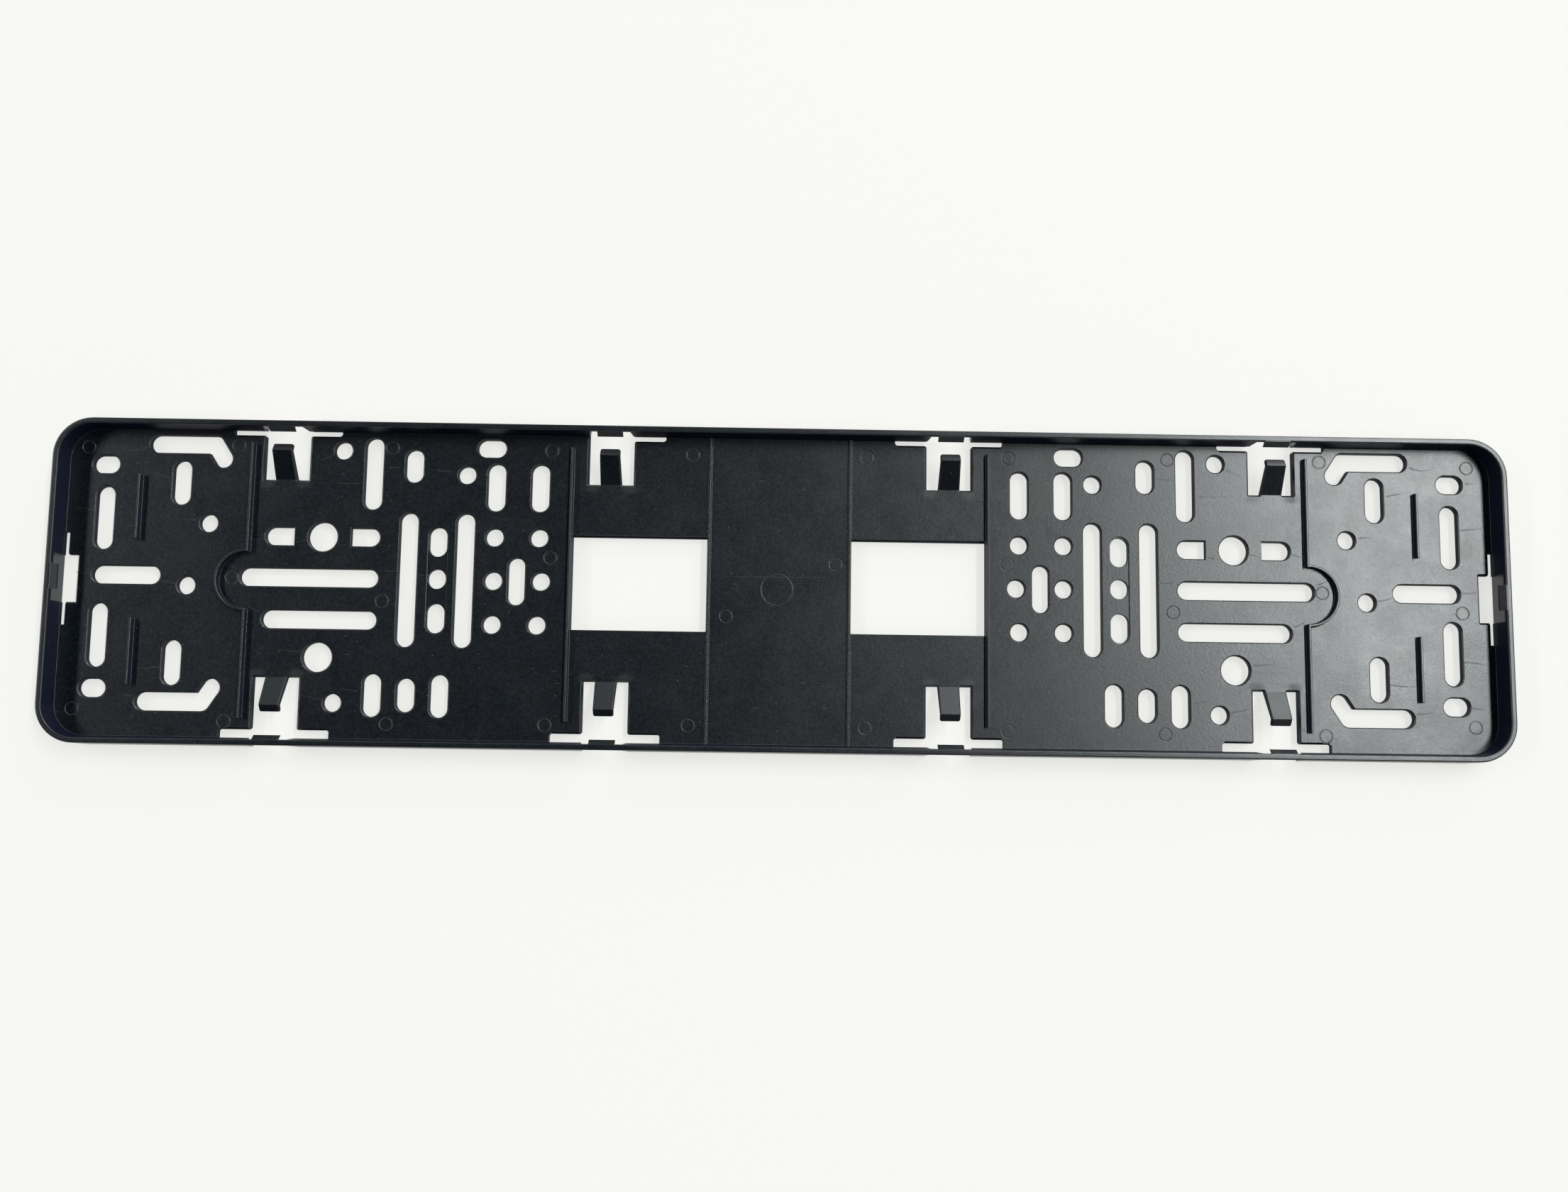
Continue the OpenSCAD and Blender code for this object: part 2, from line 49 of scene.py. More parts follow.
# Places on the tray, in millimetres, as in the part's source
FLOOR_Z = 4.0
PATTERN_X = -0.9
PATTERN_Y = 2.0
CLIP_X = (182.2, 62.5)
CLIP_ROOT = 36.4
CLIP_HALF_GAP = 8.25
# Half the length and width over the rim's inner faces at their top
INSIDE_RIM = (263.5, 57.2)

# Marks on the plastic, in millimetres, and their colours
HAZE_SIZE = 15.0
WASH_SIZE = 45.0
# Where the grain's noise and the haze's noise begin and end to count
MOTTLE_RANGE = (0.38, 0.68)
HAZE_RANGE = (0.3, 0.7)
# Dull spot beside each tongue's root: half its length and width, and how far its middle
# lies inside the corner of the opening
FLOW_MARK = (3.4, 1.9)
FLOW_MARK_INSET = (1.2, 1.6)
# The mark fades out from the first to the second share of its half size
FLOW_MARK_FADE = (0.15, 1.25)
# Brownish smudges: places on the floor, and radii; each fades from this share of its radius
SMUDGES = ((210.7, 28.8, 4.6), (253.2, 19.6, 6.5))
SMUDGE_HEART = 0.3
SMUDGE_SHARE = 0.3
# Dust and scratches lie in the cells whose random number is over the rarity
DUST_CELL = 9.0
DUST_RADIUS = 0.015 * DUST_CELL
DUST_RARITY = 0.75
SCRATCH_CELL = (13.0, 1.3)
SCRATCH_TURN = math.radians(34)
SCRATCH_REACH = 0.075
SCRATCH_RARITY = 0.98
# How strongly the marks' colour shows: all marks, and a scratch beside a speck
MARK_SHARE = 0.55
SCRATCH_SHARE = 0.12
BUMP_DEPTH = 0.028
SMUDGE_COLOUR = "#5c5240"
DUST_COLOUR = "#8f8f8b"
# Navy tint of the upright walls inside the rim: painted shade
WALL_SHADE_COLOUR = "#0f1226"
# Colour of the painted highlight along the rounded edges
EDGE_HIGHLIGHT_COLOUR = "#6b6a66"
PLASTIC_IOR = 1.6
PLASTIC_TINT = "#f9fefd"

# Roughness that each thing adds to the plastic's own, or takes away
HAZE_ROUGHNESS = 0.024
WASH_ROUGHNESS = 0.03
# Brings the mean back to the set roughness after the wash and the grain
MEAN_ROUGHNESS = -0.065
GRAIN_ROUGHNESS = 0.1
FLOW_ROUGHNESS = 0.22
SMUDGE_ROUGHNESS = 0.05
SCRATCH_ROUGHNESS = 0.2
WALL_ROUGHNESS = 0.22
# Specular level of the floor's face and of the dull upright walls
FLOOR_GLOSS = 0.5
WALL_GLOSS = 0.08
# A face is upright up to the first steepness, and no longer past the second
UPRIGHT_RANGE = (0.05, 0.35)
# A rounded edge's painted highlight begins to show at the first cosine, and shows in full at
# the second
EDGE_TURN = (0.995, 0.88)

# Sockets of a Mix node: its share, and what it mixes and gives as colours or as numbers
SHARE, COLOUR_A, COLOUR_B, COLOUR_OUT = 0, 6, 7, 2
NUMBER_A, NUMBER_B, NUMBER_OUT = 2, 3, 0

# Knit lines on the right half of the floor: millimetres from the middle of the pattern.
# Each starts at the hole behind which the two flows of plastic met, and fades away from it
KNIT_LINES = (
    ((233.9, 49.7), (237.9, 48.5), (242.4, 49.0)),
    ((254.5, 43.8), (258.2, 43.9)),
    ((225.2, 38.6), (228.6, 39.3), (232.3, 40.1)),
    ((214.4, 22.7), (216.7, 23.0), (219.3, 23.1)),
    ((252.3, 26.2), (256.1, 26.6), (260.6, 27.1)),
    ((220.7, -0.5), (223.4, -0.2), (226.3, 0.7)),
    ((252.1, 2.7), (257.3, 3.0)),
    ((251.9, -22.7), (256.0, -22.9), (260.5, -23.7)),
    ((254.1, -39.3), (258.5, -40.0)),
    ((233.7, -41.9), (236.8, -41.6), (240.0, -41.1)),
    ((224.4, -31.2), (229.1, -31.8), (233.8, -31.8)),
    ((154.9, 37.5), (160.9, 37.4), (166.9, 37.9)),
    ((165.3, 47.7), (168.2, 46.5), (171.0, 45.2)),
    ((158.4, 14.7), (163.0, 13.9)),
    ((173.8, 16.1), (177.8, 15.0)),
    ((189.4, 16.3), (193.2, 15.1)),
    ((140.7, 5.0), (147.2, 5.1)),
    ((198.6, 5.0), (202.6, 6.8)),
    ((121.2, 42.6), (126.4, 42.8), (131.3, 43.1)),
    ((140.1, 43.8), (146.2, 43.4)),
    ((173.8, -24.9), (178.0, -24.7), (182.4, -24.0)),
    ((165.4, -42.1), (169.5, -41.6), (173.2, -40.7)),
    ((152.2, -39.2), (159.7, -37.8)),
    ((189.5, -10.6), (192.2, -9.5), (194.0, -8.5)),
)
# The flows from the two halves met along the middle of the tray
MIDDLE_LINE = ((-22.9, 4.8), (0.6, 5.0), (24.1, 5.5))
MIDDLE_LINE_WIDTH = 0.7
# A knit line is a low ridge: heights of its crest and foot over the floor, how far it
# wavers sideways, in millimetres, and how much of its width it loses towards an end
KNIT_STEPS = 12
KNIT_CREST = 0.012
KNIT_FOOT = 0.002
KNIT_WAVER = 0.12
KNIT_THINNING = 0.85
KNIT_TAPER = 1.5
# Turn of the waver from one step of the line to the next, in radians
KNIT_TURN = 2.1

# Places and sizes on the stage, in metres. Every lamp is aimed a little right of the middle
FLOOR_HALF = 30.0
LAMP_TARGET = (0.1, 0, 0)
KEY_PLACE = (1.64, 0.93, 3.0)
FILL_PLACE = (-3.58, 1.2, 3.0)
FILL_SIZE = (0.45, 3.0)
WINDOW_PLACE = (1.7, 3.4, 1.25)
WINDOW_SIZE = (2.8, 1.1)
NOOK_REACH = 0.008
# The way to the ceiling's middle leans, so that the pale walls reach higher beyond the
# tray's upper edge and towards its right end. Along it the walls end and the ceiling begins
CEILING_WAY = (-0.25, -0.15, 1.0)
WALL_TOP = 0.25
CEILING_EDGE = 0.6

# The photograph's camera, in millimetres from the middle of the tray's foot
CAMERA_PLACE = (-2.81526, -53.40528, 495.88161)
CAMERA_RIGHT = (0.99985484, 0.01418176, 0.00944352)
CAMERA_UP = (-0.01508712, 0.99446845, 0.10394652)
CAMERA_BACK = (-0.00791714, -0.10407391, 0.99453805)
SENSOR_MM = 36.0
LENS_MM = 30.95
CLIP_RANGE = (0.01, 100.0)


def linear(code):
    """Turns an sRGB hex colour into linear red, green, blue and alpha."""
    values = [int(code[i:i + 2], 16) / 255 for i in (1, 3, 5)]
    return tuple(
        v / 12.92 if v <= 0.04045 else ((v + 0.055) / 1.055) ** 2.4 for v in values
    ) + (1.0,)


def add(tree, kind, inputs=None, **settings):
    """Adds a node with its settings, and its inputs as values or as links."""
    node = tree.nodes.new(kind)
    for name, value in settings.items():
        setattr(node, name, value)
    for name, value in (inputs or {}).items():
        if isinstance(value, bpy.types.NodeSocket):
            tree.links.new(value, node.inputs[name])
        else:
            node.inputs[name].default_value = value
    return node


class HolderPlastic(bpy.types.PropertyGroup):
    """Finish of the moulded tray"""

    colour: FloatVectorProperty(
        name="Plastic colour",
        description="Base colour of the black plastic",
        subtype="COLOR", size=3, min=0, max=1, default=linear("#04080e")[:3],
    )
    pale_colour: FloatVectorProperty(
        name="Mottle colour",
        description="Colour of the paler grains in the fine mottle",
        subtype="COLOR", size=3, min=0, max=1, default=linear("#0d161e")[:3],
    )
    roughness: FloatProperty(
        name="Roughness",
        description="Roughness of the moulded face, 0.2 to 0.5 for satin plastic",
        min=0.05, max=1, default=0.335,
    )
    grain: FloatProperty(
        name="Grain size",
        description="Distance between the pits of the mould's fine texture",
        unit="LENGTH", min=0.0001, max=0.003, default=0.9 * MM, precision=5,
    )
    edge_radius: FloatProperty(
        name="Edge radius",
        description="Radius that the mould leaves along every edge",
        unit="LENGTH", min=0, max=0.001, default=0.24 * MM, precision=5,
    )
    # Painted highlight: how much paler the rounded edges are made
    edge_highlight: FloatProperty(
        name="Edge sheen",
        description="How much paler the burnished rounding of the edges is, 0 for none",
        subtype="FACTOR", min=0, max=1, default=0.45,
    )
    knit_width: FloatProperty(
        name="Knit line width",
        description="Width of a knit line where it leaves its hole",
        unit="LENGTH", min=0.0001, max=0.002, default=0.6 * MM, precision=5,
    )


class HolderStage(bpy.types.PropertyGroup):
    """Floor and lights round the tray"""

    floor_colour: FloatVectorProperty(
        name="Floor colour",
        description="Colour of the plain floor and the backdrop",
        subtype="COLOR", size=3, min=0, max=1, default=linear("#f6f6f3")[:3],
    )
    floor_glow: FloatProperty(
        name="Floor glow",
        description="Share of the floor's brightness that shadows leave, as on a light table",
        subtype="FACTOR", min=0, max=1, default=0.84,
    )
    nook_shade: FloatProperty(
        name="Nook shade",
        description="How far the glow dims in the nooks under the tray",
        subtype="FACTOR", min=0, max=1, default=0.14,
    )
    key_power: FloatProperty(
        name="Key power",
        description="Power of the long soft strip lamp high over the right end",
        unit="POWER", min=0, max=1000, default=107,
    )
    key_width: FloatProperty(
        name="Key width",
        description="Width of the strip lamp, across the tray's length",
        unit="LENGTH", min=0.1, max=3, default=0.4,
    )
    key_length: FloatProperty(
        name="Key length",
        description="Length of the strip lamp, along the tray's width",
        unit="LENGTH", min=0.1, max=4, default=2.6,
    )
    fill_power: FloatProperty(
        name="Fill power",
        description="Power of the weaker strip lamp on the left",
        unit="POWER", min=0, max=1000, default=80,
    )
    window_power: FloatProperty(
        name="Window power",
        description="Power of the low broad lamp beyond the upper edge, like a window",
        unit="POWER", min=0, max=1000, default=46,
    )
    walls: FloatProperty(
        name="Walls",
        description="Brightness of the pale walls round the stage, 1 for white",
        min=0, max=1, default=0.93,
    )
    backdrop: FloatProperty(
        name="Backdrop",
        description="Brightness of the walls in the picture, to suit the far floor",
        min=0, max=1, default=0.79,
    )
    ceiling: FloatProperty(
        name="Ceiling",
        description="Brightness of the dark ceiling straight above, 1 for white",
        min=0, max=1, default=0.0,
    )


def satin_black_plastic(name, finish, dullness=0.0, sheen=1.0):
    """Black ABS, injection moulded in a lightly textured mould: satin, with a fine mottle on
    the flat faces, a painted highlight that makes the rounded edges paler, dull upright
    walls inside the rim tinted navy as painted shade, duller flow marks beside the spring
    tongues and a few specks and hairline scratches. Dullness is added to the roughness,
    and sheen is the share of the painted edge highlight that it gets."""
    material = bpy.data.materials.new(name)
    material.use_nodes = True
    tree = material.node_tree
    tree.nodes.clear()
    place = add(tree, "ShaderNodeTexCoord").outputs["Object"]

    # Mould texture, some 0.1 mm in the real one, drawn coarser so that it shows
    grain = add(tree, "ShaderNodeTexNoise", {
        "Vector": place, "Scale": 1 / finish.grain, "Detail": 2.0, "Roughness": 0.65,
    }).outputs["Fac"]
    mottle = add(tree, "ShaderNodeMapRange", {
        "Value": grain, "From Min": MOTTLE_RANGE[0], "From Max": MOTTLE_RANGE[1],
    }).outputs["Result"]
    # Uneven gloss from the flow of the plastic, 15 mm and 45 mm across
    haze = add(tree, "ShaderNodeTexNoise", {
        "Vector": place, "Scale": 1 / (HAZE_SIZE * MM), "Detail": 4.0, "Roughness": 0.62,
        "Distortion": 0.4}).outputs["Fac"]
    wash = add(tree, "ShaderNodeTexNoise", {
        "Vector": place, "Scale": 1 / (WASH_SIZE * MM), "Detail": 2.0}).outputs["Fac"]

    # Flow marks: a dull spot at both corners of the floor beside each tongue's root
    parts = add(tree, "ShaderNodeSeparateXYZ", {"Vector": place})
    from_middle = add(tree, "ShaderNodeMath", {
        0: add(tree, "ShaderNodeMath", {0: parts.outputs["X"], 1: -PATTERN_X * MM},
               operation="ADD").outputs[0]}, operation="ABSOLUTE").outputs[0]
    to_clips = [
        add(tree, "ShaderNodeMath", {
            0: add(tree, "ShaderNodeMath", {0: from_middle, 1: x * MM},
                   operation="SUBTRACT").outputs[0]}, operation="ABSOLUTE").outputs[0]
        for x in CLIP_X]
    beside_clip = add(tree, "ShaderNodeMath", {0: to_clips[0], 1: to_clips[1]},
                      operation="MINIMUM").outputs[0]
    across = add(tree, "ShaderNodeMath", {
        0: add(tree, "ShaderNodeMath", {0: parts.outputs["Y"], 1: PATTERN_Y * MM},
               operation="SUBTRACT").outputs[0]}, operation="ABSOLUTE").outputs[0]
    corner = add(tree, "ShaderNodeCombineXYZ", {
        "X": add(tree, "ShaderNodeMath", {
            0: beside_clip, 1: (CLIP_HALF_GAP - FLOW_MARK_INSET[0]) * MM},
            operation="SUBTRACT").outputs[0],
        "Y": add(tree, "ShaderNodeMath", {
            0: across, 1: (CLIP_ROOT - FLOW_MARK_INSET[1]) * MM},
            operation="SUBTRACT").outputs[0],
    }).outputs["Vector"]
    spread = add(tree, "ShaderNodeVectorMath", {
        0: corner, 1: (1 / (FLOW_MARK[0] * MM), 1 / (FLOW_MARK[1] * MM), 0)},
        operation="MULTIPLY").outputs[0]
    off = add(tree, "ShaderNodeVectorMath", {0: spread}, operation="LENGTH").outputs["Value"]
    flow = add(tree, "ShaderNodeMapRange", {
        "Value": off, "From Min": FLOW_MARK_FADE[0], "From Max": FLOW_MARK_FADE[1],
        "To Min": 1.0, "To Max": 0.0}, interpolation_type="SMOOTHSTEP").outputs["Result"]
    flow = add(tree, "ShaderNodeMath", {0: flow, 1: haze}, operation="MULTIPLY").outputs[0]

    # Two faint brownish smudges near the right end
    smudges = []
    for x, y, radius in SMUDGES:
        away = add(tree, "ShaderNodeVectorMath", {
            0: place, 1: (x * MM, y * MM, FLOOR_Z * MM)}, operation="DISTANCE")
        smudges.append(add(tree, "ShaderNodeMapRange", {
            "Value": away.outputs["Value"], "From Min": SMUDGE_HEART * radius * MM,
            "From Max": radius * MM, "To Min": 1.0, "To Max": 0.0},
            interpolation_type="SMOOTHSTEP").outputs["Result"])
    smudge = add(tree, "ShaderNodeMath", {0: smudges[0], 1: smudges[1]},
                 operation="MAXIMUM").outputs[0]
    smudge = add(tree, "ShaderNodeMath", {0: smudge, 1: haze}, operation="MULTIPLY").outputs[0]

    # Specks of dust about 0.3 mm across, in one of every four cells
    flat = add(tree, "ShaderNodeTexVoronoi", {
        "Vector": place, "Scale": 1 / (DUST_CELL * MM)}, voronoi_dimensions="2D")
    near = add(tree, "ShaderNodeMath", {
        0: flat.outputs["Distance"], 1: DUST_RADIUS / DUST_CELL},
        operation="LESS_THAN").outputs[0]
    kept = add(tree, "ShaderNodeMath", {
        0: add(tree, "ShaderNodeSeparateXYZ", {"Vector": flat.outputs["Color"]}).outputs["X"],
        1: DUST_RARITY}, operation="GREATER_THAN").outputs[0]
    speck = add(tree, "ShaderNodeMath", {0: near, 1: kept}, operation="MULTIPLY").outputs[0]
    # Hairline scratches, about 2 mm long
    turned = add(tree, "ShaderNodeMapping", {
        "Vector": place, "Rotation": (0, 0, SCRATCH_TURN),
        "Scale": (1 / (SCRATCH_CELL[0] * MM), 1 / (SCRATCH_CELL[1] * MM), 1)
    }).outputs["Vector"]
    strokes = add(tree, "ShaderNodeTexVoronoi", {"Vector": turned, "Scale": 1.0},
                  voronoi_dimensions="2D")
    narrow = add(tree, "ShaderNodeMath", {
        0: strokes.outputs["Distance"], 1: SCRATCH_REACH},
        operation="LESS_THAN").outputs[0]
    rare = add(tree, "ShaderNodeMath", {
        0: add(tree, "ShaderNodeSeparateXYZ", {
            "Vector": strokes.outputs["Color"]}).outputs["X"],
        1: SCRATCH_RARITY}, operation="GREATER_THAN").outputs[0]
    scratch = add(tree, "ShaderNodeMath", {0: narrow, 1: rare},
                  operation="MULTIPLY").outputs[0]

    colour = add(tree, "ShaderNodeMix", {
        SHARE: mottle, COLOUR_A: (*finish.colour, 1.0),
        COLOUR_B: (*finish.pale_colour, 1.0)}, data_type="RGBA").outputs[COLOUR_OUT]
    colour = add(tree, "ShaderNodeMix", {
        SHARE: add(tree, "ShaderNodeMath", {0: smudge, 1: SMUDGE_SHARE},
                   operation="MULTIPLY").outputs[0],
        COLOUR_A: colour, COLOUR_B: linear(SMUDGE_COLOUR)},
        data_type="RGBA").outputs[COLOUR_OUT]
    marks = add(tree, "ShaderNodeMath", {
        0: speck,
        1: add(tree, "ShaderNodeMath", {0: scratch, 1: SCRATCH_SHARE},
               operation="MULTIPLY").outputs[0]}, operation="MAXIMUM").outputs[0]
    colour = add(tree, "ShaderNodeMix", {
        SHARE: add(tree, "ShaderNodeMath", {0: marks, 1: MARK_SHARE},
                   operation="MULTIPLY").outputs[0],
        COLOUR_A: colour, COLOUR_B: linear(DUST_COLOUR)},
        data_type="RGBA").outputs[COLOUR_OUT]

    rough = add(tree, "ShaderNodeMapRange", {
        "Value": haze, "From Min": HAZE_RANGE[0], "From Max": HAZE_RANGE[1],
        "To Min": finish.roughness + dullness - HAZE_ROUGHNESS,
        "To Max": finish.roughness + dullness + HAZE_ROUGHNESS}).outputs["Result"]
    rough = add(tree, "ShaderNodeMath", {0: rough, 1: MEAN_ROUGHNESS},
                operation="ADD").outputs[0]
    for amount, added in (
            (wash, WASH_ROUGHNESS), (grain, GRAIN_ROUGHNESS), (flow, FLOW_ROUGHNESS),
            (smudge, SMUDGE_ROUGHNESS), (scratch, SCRATCH_ROUGHNESS)):
        rough = add(tree, "ShaderNodeMath", {0: amount, 1: added, 2: rough},
                    operation="MULTIPLY_ADD").outputs[0]

    # The upright walls inside the rim are rougher and less glossy than the floor,
    # and their colour is tinted navy as painted shade
    flat_normal = add(tree, "ShaderNodeNewGeometry").outputs["True Normal"]
    facing = add(tree, "ShaderNodeSeparateXYZ", {"Vector": flat_normal}).outputs["Z"]
    upright = add(tree, "ShaderNodeMapRange", {
        "Value": add(tree, "ShaderNodeMath", {0: facing}, operation="ABSOLUTE").outputs[0],
        "From Min": UPRIGHT_RANGE[0], "From Max": UPRIGHT_RANGE[1],
        "To Min": 1.0, "To Max": 0.0}).outputs["Result"]
    inside = [
        add(tree, "ShaderNodeMath", {
            0: add(tree, "ShaderNodeMath", {0: parts.outputs[axis]},
                   operation="ABSOLUTE").outputs[0], 1: reach * MM},
            operation="LESS_THAN").outputs[0]
        for axis, reach in zip("XY", INSIDE_RIM)]
    wall = add(tree, "ShaderNodeMath", {
        0: upright,
        1: add(tree, "ShaderNodeMath", {0: inside[0], 1: inside[1]},
               operation="MULTIPLY").outputs[0]}, operation="MULTIPLY").outputs[0]
    colour = add(tree, "ShaderNodeMix", {
        SHARE: wall, COLOUR_A: colour, COLOUR_B: linear(WALL_SHADE_COLOUR)},
        data_type="RGBA").outputs[COLOUR_OUT]
    rough = add(tree, "ShaderNodeMath", {0: wall, 1: WALL_ROUGHNESS, 2: rough},
                operation="MULTIPLY_ADD").outputs[0]
    gloss = add(tree, "ShaderNodeMapRange", {
        "Value": wall, "To Min": FLOOR_GLOSS, "To Max": WALL_GLOSS}).outputs["Result"]

    # Edges are rounded in the normals; a painted highlight makes them paler where the rounding
    # turns away from the flat
    rounded = add(tree, "ShaderNodeBevel", {"Radius": finish.edge_radius}, samples=6)
    turn = add(tree, "ShaderNodeVectorMath", {
        0: rounded.outputs["Normal"], 1: flat_normal},
        operation="DOT_PRODUCT").outputs["Value"]
    edge = add(tree, "ShaderNodeMapRange", {
        "Value": turn, "From Min": EDGE_TURN[0], "From Max": EDGE_TURN[1],
        "To Max": sheen * finish.edge_highlight}).outputs["Result"]
    colour = add(tree, "ShaderNodeMix", {
        SHARE: edge, COLOUR_A: colour, COLOUR_B: linear(EDGE_HIGHLIGHT_COLOUR)},
        data_type="RGBA").outputs[COLOUR_OUT]
    bump = add(tree, "ShaderNodeBump", {
        "Height": grain, "Strength": 1.0, "Distance": BUMP_DEPTH * MM,
        "Normal": rounded.outputs["Normal"]})
    shader = add(tree, "ShaderNodeBsdfPrincipled", {
        "Base Color": colour,
        "Roughness": rough,
        "IOR": PLASTIC_IOR,
        "Specular IOR Level": gloss,
        "Specular Tint": linear(PLASTIC_TINT),
        "Normal": bump.outputs["Normal"],
    })
    add(tree, "ShaderNodeOutputMaterial", {"Surface": shader.outputs["BSDF"]})
    return material


class PLATEHOLDER_OT_moulding(bpy.types.Operator):
    """Gives the moulded tray its satin black plastic"""

    bl_idname = "plateholder.moulding"
    bl_label = "Moulded tray"

    def execute(self, context):
        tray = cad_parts[TRAY_NODE]
        if not tray.material_slots:
            raise RuntimeError("the tray has no material slot to finish")
        plastic = satin_black_plastic("moulded_black_abs", context.scene.holder_plastic)
        for slot in tray.material_slots:
            slot.material = plastic
        return {"FINISHED"}


def smooth_path(points, steps):
    """Points along a gently curved path through two or three given points."""
    start, end = Vector(points[0]), Vector(points[-1])
    middle = Vector(points[1]) if len(points) > 2 else (start + end) / 2
    pull = middle * 2 - (start + end) / 2
    path = []
    for i in range(steps + 1):
        t = i / steps
        path.append(start * (1 - t) ** 2 + pull * 2 * t * (1 - t) + end * t ** 2)
    return path


def add_knit_line(verts, faces, points, width, both_ends=False):
    """A hairline ridge on the floor along a path, thinning out at its far end, or at both
    ends. Sizes are in millimetres."""
    path = smooth_path(points, KNIT_STEPS)
    first = len(verts)
    for i, spot in enumerate(path):
        ahead = path[min(i + 1, KNIT_STEPS)] - path[max(i - 1, 0)]
        side = Vector((-ahead.y, ahead.x)).normalized()
        t = i / KNIT_STEPS
        far = abs(2 * t - 1) if both_ends else t
        half = width * (1 - KNIT_THINNING * far ** KNIT_TAPER) / 2
        wave = side * KNIT_WAVER * math.sin(KNIT_TURN * i + spot.x)
        for offset, height in ((-half, KNIT_FOOT), (0.0, KNIT_CREST), (half, KNIT_FOOT)):
            at = spot + wave + side * offset
            verts.append((at.x * MM, at.y * MM, (FLOOR_Z + height) * MM))
        if i:
            a = first + 3 * (i - 1)
            faces.append((a, a + 3, a + 4, a + 1))
            faces.append((a + 1, a + 4, a + 5, a + 2))


class PLATEHOLDER_OT_knit_lines(bpy.types.Operator):
    """Draws the hairline knit lines where flows of plastic met behind the holes"""

    bl_idname = "plateholder.knit_lines"
    bl_label = "Knit lines"

    def execute(self, context):
        finish = context.scene.holder_plastic
        width = finish.knit_width / MM
        verts, faces = [], []
        for side in (1, -1):
            for points in KNIT_LINES:
                placed = [(PATTERN_X + side * x, y) for x, y in points]
                add_knit_line(verts, faces, placed, width)
        middle = [(PATTERN_X + x, y) for x, y in MIDDLE_LINE]
        add_knit_line(verts, faces, middle, MIDDLE_LINE_WIDTH * width, both_ends=True)
        mesh = bpy.data.meshes.new("knit_lines")
        mesh.from_pydata(verts, [], faces)
        mesh.update()
        lines = bpy.data.objects.new("knit_lines", mesh)
        context.scene.collection.objects.link(lines)
        mesh.materials.append(
            satin_black_plastic("moulded_black_abs_knit_line", finish, dullness=0.1,
                                sheen=0.0))
        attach(lines, "root")
        return {"FINISHED"}


def matte_board(stage):
    """White board lit from within, as a light table is: matte, so that it shows only soft
    shadows. What the camera and the gloss see keeps a share of its brightness in the
    shadows, a little less in the nooks under the tray; the light that it throws on the tray
    is left plain."""
    material = bpy.data.materials.new("matte_white_board")
    material.use_nodes = True
    tree = material.node_tree
    tree.nodes.clear()
    colour = (*stage.floor_colour, 1.0)
    board = add(tree, "ShaderNodeBsdfDiffuse", {"Color": colour})
    open_sky = add(tree, "ShaderNodeAmbientOcclusion", {"Distance": NOOK_REACH}, samples=12)
    level = add(tree, "ShaderNodeMapRange", {
        "Value": open_sky.outputs["AO"], "To Min": 1 - stage.nook_shade, "To Max": 1.0})
    glow = add(tree, "ShaderNodeEmission", {
        "Color": colour, "Strength": level.outputs["Result"]})
    path = add(tree, "ShaderNodeLightPath")
    seen = add(tree, "ShaderNodeMath", {
        0: path.outputs["Is Camera Ray"], 1: path.outputs["Is Glossy Ray"]},
        operation="ADD").outputs[0]
    seen = add(tree, "ShaderNodeMath", {0: seen, 1: path.outputs["Is Transmission Ray"]},
               operation="ADD", use_clamp=True).outputs[0]
    share = add(tree, "ShaderNodeMath", {0: seen, 1: stage.floor_glow},
                operation="MULTIPLY").outputs[0]
    mix = add(tree, "ShaderNodeMixShader", {
        0: share, 1: board.outputs["BSDF"], 2: glow.outputs["Emission"]})
    add(tree, "ShaderNodeOutputMaterial", {"Surface": mix.outputs[0]})
    return material


def make_floor(stage):
    """A wide flat floor under the tray."""
    mesh = bpy.data.meshes.new("floor")
    mesh.from_pydata(
        [(x * FLOOR_HALF, y * FLOOR_HALF, 0) for x, y in ((-1, -1), (1, -1), (1, 1), (-1, 1))],
        [], [(0, 1, 2, 3)])
    floor = bpy.data.objects.new("floor", mesh)
    bpy.context.scene.collection.objects.link(floor)
    mesh.materials.append(matte_board(stage))


def make_lamp(name, place, width, length, power):
    """A soft rectangular lamp at a place, aimed at the tray."""
    data = bpy.data.lights.new(name, "AREA")
    data.shape = "RECTANGLE"
    data.size, data.size_y = width, length
    data.energy = power
    lamp = bpy.data.objects.new(name, data)
    bpy.context.scene.collection.objects.link(lamp)
    lamp.visible_camera = False
    back = (Vector(place) - Vector(LAMP_TARGET)).normalized()
    right = Vector((0, 1, 0)).cross(back).normalized()
    turn = Matrix((right, back.cross(right), back)).transposed()
    lamp.matrix_world = Matrix.Translation(Vector(place)) @ turn.to_4x4()


def make_world(stage):
    """A pale room: light walls all round, which the camera sees as a backdrop as bright as
    the far floor, under a dark ceiling, as over a copy stand."""
    world = bpy.data.worlds.new("studio")
    world.use_nodes = True
    tree = world.node_tree
    tree.nodes.clear()
    way = add(tree, "ShaderNodeTexCoord").outputs["Generated"]
    height = add(tree, "ShaderNodeVectorMath", {0: way, 1: CEILING_WAY},
                 operation="DOT_PRODUCT").outputs["Value"]
    level = add(tree, "ShaderNodeMapRange", {
        "Value": height, "From Min": WALL_TOP, "From Max": CEILING_EDGE,
        "To Min": stage.walls, "To Max": stage.ceiling}, interpolation_type="SMOOTHSTEP")
    seen = add(tree, "ShaderNodeLightPath").outputs["Is Camera Ray"]
    strength = add(tree, "ShaderNodeMix", {
        SHARE: seen, NUMBER_A: level.outputs["Result"],
        NUMBER_B: stage.backdrop}).outputs[NUMBER_OUT]
    room = add(tree, "ShaderNodeBackground", {
        "Color": (*stage.floor_colour, 1.0), "Strength": strength})
    add(tree, "ShaderNodeOutputWorld", {"Surface": room.outputs[0]})
    bpy.context.scene.world = world


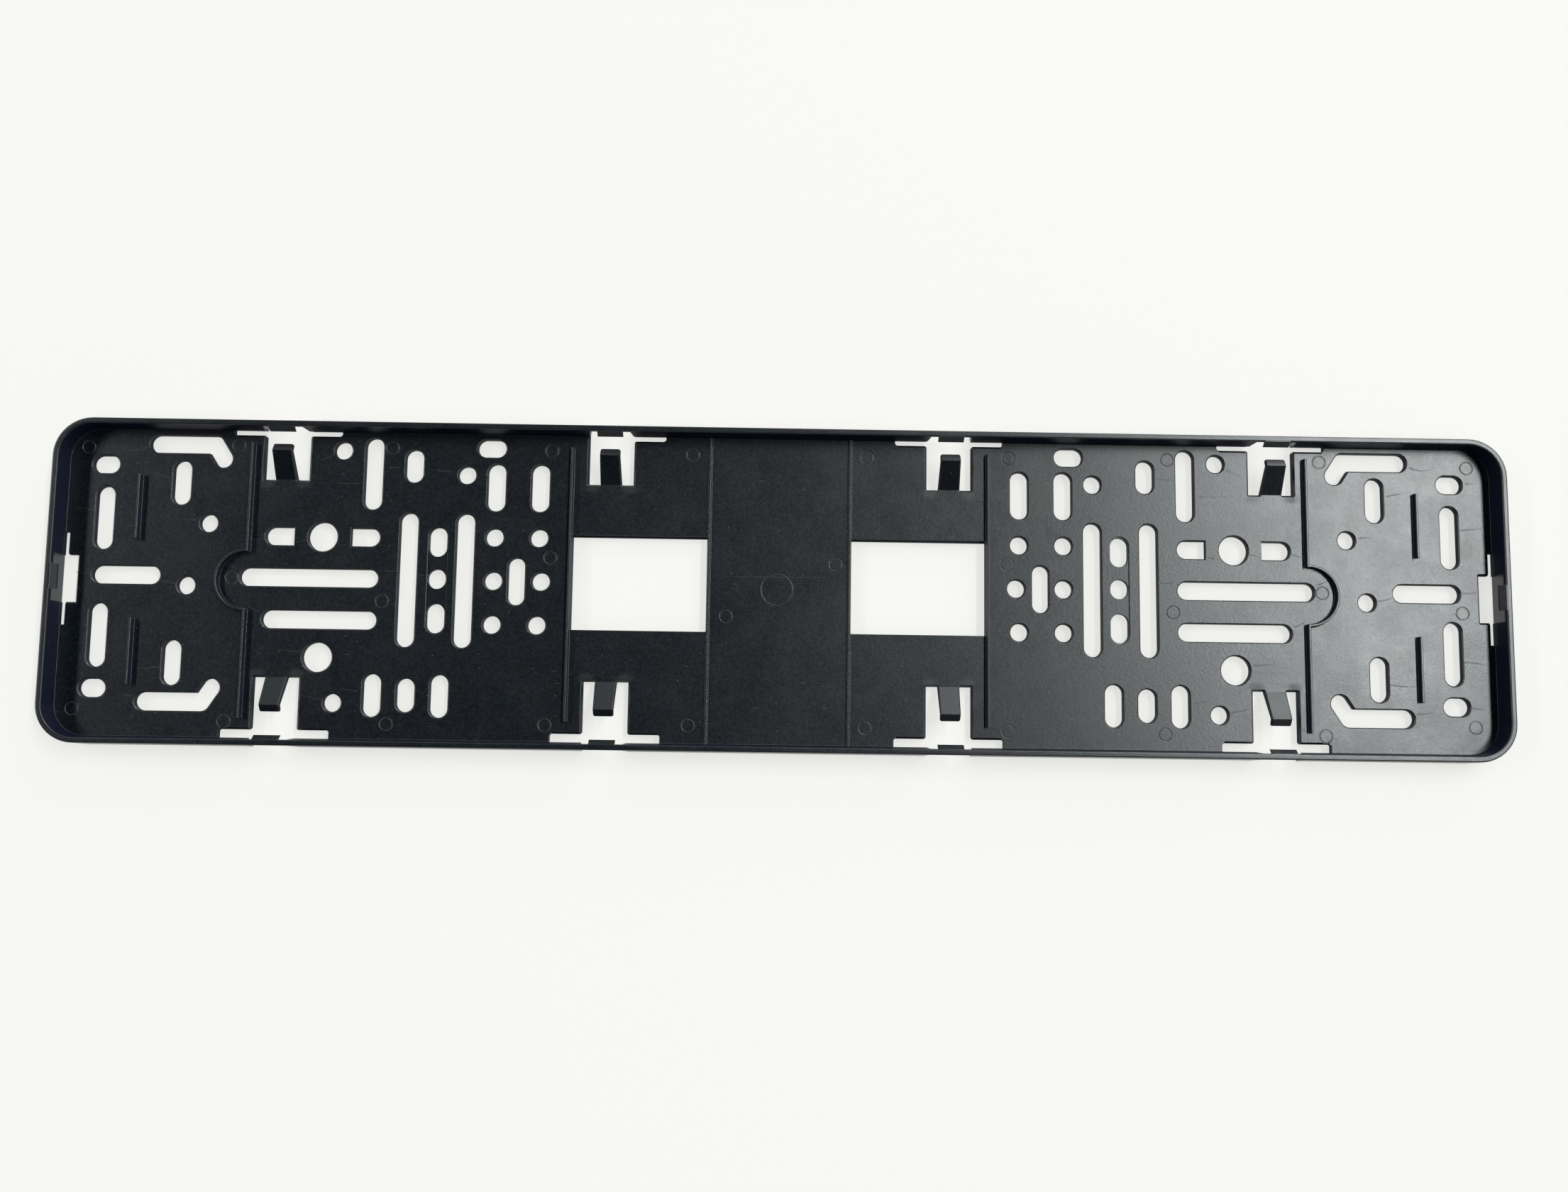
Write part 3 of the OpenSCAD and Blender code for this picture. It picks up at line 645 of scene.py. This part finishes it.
def make_camera():
    """The photograph's camera, nearly straight above the tray."""
    data = bpy.data.cameras.new("camera")
    data.sensor_width = SENSOR_MM
    data.lens = LENS_MM
    data.clip_start, data.clip_end = CLIP_RANGE
    camera = bpy.data.objects.new("camera", data)
    bpy.context.scene.collection.objects.link(camera)
    turn = Matrix((CAMERA_RIGHT, CAMERA_UP, CAMERA_BACK)).transposed()
    camera.matrix_world = (
        Matrix.Translation(Vector(CAMERA_PLACE) * MM) @ turn.to_4x4())
    bpy.context.scene.camera = camera


class PLATEHOLDER_OT_stage(bpy.types.Operator):
    """Makes the floor, the lamps, the backdrop and the camera"""

    bl_idname = "plateholder.stage"
    bl_label = "Studio stage"

    def execute(self, context):
        stage = context.scene.holder_stage
        make_floor(stage)
        make_lamp("key", KEY_PLACE, stage.key_width, stage.key_length, stage.key_power)
        make_lamp("fill", FILL_PLACE, *FILL_SIZE, stage.fill_power)
        make_lamp("window", WINDOW_PLACE, *WINDOW_SIZE, stage.window_power)
        make_world(stage)
        make_camera()
        context.scene.view_settings.view_transform = "Standard"
        return {"FINISHED"}


class PLATEHOLDER_PT_panel(bpy.types.Panel):
    """Sizes, colours and steps of the plate holder"""

    bl_label = "Plate Holder"
    bl_idname = "PLATEHOLDER_PT_panel"
    bl_space_type = "VIEW_3D"
    bl_region_type = "UI"
    bl_category = "Plate Holder"

    def draw(self, context):
        for group, steps in (
                (context.scene.holder_plastic, ("plateholder.moulding",
                                                "plateholder.knit_lines")),
                (context.scene.holder_stage, ("plateholder.stage",))):
            box = self.layout.box()
            for name in group.__annotations__:
                box.prop(group, name)
            for step in steps:
                box.operator(step)


CLASSES = (
    HolderPlastic,
    HolderStage,
    PLATEHOLDER_OT_moulding,
    PLATEHOLDER_OT_knit_lines,
    PLATEHOLDER_OT_stage,
    PLATEHOLDER_PT_panel,
)


def register():
    for cls in CLASSES:
        bpy.utils.register_class(cls)
    bpy.types.Scene.holder_plastic = PointerProperty(type=HolderPlastic)
    bpy.types.Scene.holder_stage = PointerProperty(type=HolderStage)


def unregister():
    del bpy.types.Scene.holder_stage
    del bpy.types.Scene.holder_plastic
    for cls in reversed(CLASSES):
        bpy.utils.unregister_class(cls)


def main():
    register()
    bpy.ops.plateholder.stage()
    bpy.ops.plateholder.moulding()
    bpy.ops.plateholder.knit_lines()


if __name__ == "__main__":
    main()
